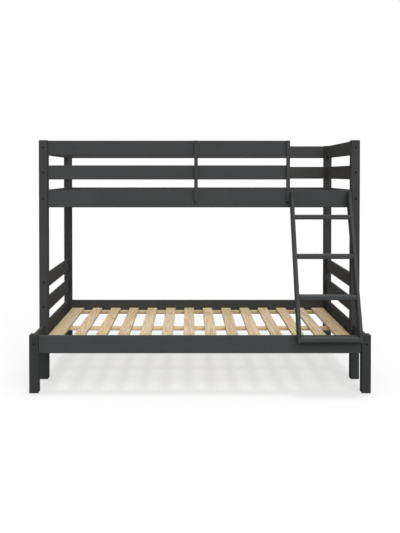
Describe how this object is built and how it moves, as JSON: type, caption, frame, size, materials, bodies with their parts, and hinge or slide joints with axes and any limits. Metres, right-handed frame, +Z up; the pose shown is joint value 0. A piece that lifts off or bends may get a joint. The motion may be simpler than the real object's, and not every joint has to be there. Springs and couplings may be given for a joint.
{
  "type": "bunk bed",
  "caption": "Painted timber bunk bed: a single deck with guard rails above a wider slatted deck, joined by a fixed slanted ladder with flat rungs.",
  "frame": {"origin": "centre of the footprint at floor level, in the middle of the box around the whole bed with its ladder", "axes": "+X along the bed towards the ladder end, +Y from the ladder side towards the back, +Z up"},
  "size_m": [1.98, 1.327, 1.48],
  "materials": {
    "painted_pine": "satin charcoal paint",
    "natural_pine": "planed, unpainted",
    "beech": "raw",
    "black_steel": "black oxide",
    "zinc_plated_steel": "zinc plated"
  },
  "bodies": {
    "root": {"barrel_nuts": "black_steel", "beam_brackets": "zinc_plated_steel", "dowels": "beech", "extension_rail_left": "painted_pine", "extension_rail_right": "painted_pine", "front_leg_left": "painted_pine", "front_leg_right": "painted_pine", "front_post_left": "painted_pine", "front_post_right": "painted_pine", "guard_batten_ladder": "painted_pine", "guard_batten_middle": "painted_pine", "guard_rail_middle_front": "painted_pine", "guard_rail_middle_rear": "painted_pine", "guard_rail_top_front": "painted_pine", "guard_rail_top_rear": "painted_pine", "ladder_rung_1": "painted_pine", "ladder_rung_2": "painted_pine", "ladder_rung_3": "painted_pine", "ladder_rung_4": "painted_pine", "ladder_screws": "zinc_plated_steel", "ladder_stile_left": "painted_pine", "ladder_stile_right": "painted_pine", "leg_bolts": "black_steel", "lower_bearer_front": "natural_pine", "lower_bearer_rear": "natural_pine", "lower_centre_beam": "natural_pine", "lower_end_plank_middle_left": "painted_pine", "lower_end_plank_middle_right": "painted_pine", "lower_end_plank_top_left": "painted_pine", "lower_end_plank_top_right": "painted_pine", "lower_end_rail_left": "painted_pine", "lower_end_rail_right": "painted_pine", "lower_side_rail_front": "painted_pine", "lower_side_rail_rear": "painted_pine", "lower_slats": "natural_pine", "plank_screws": "black_steel", "rail_bolts": "black_steel", "rear_post_left": "painted_pine", "rear_post_right": "painted_pine", "tie_studs": "zinc_plated_steel", "upper_bearer_front": "natural_pine", "upper_bearer_rear": "natural_pine", "upper_end_plank_middle_left": "painted_pine", "upper_end_plank_middle_right": "painted_pine", "upper_end_plank_top_left": "painted_pine", "upper_end_plank_top_right": "painted_pine", "upper_end_rail_left": "painted_pine", "upper_end_rail_right": "painted_pine", "upper_side_rail_front": "painted_pine", "upper_side_rail_rear": "painted_pine", "upper_slats": "natural_pine"}
  },
  "joints": []
}
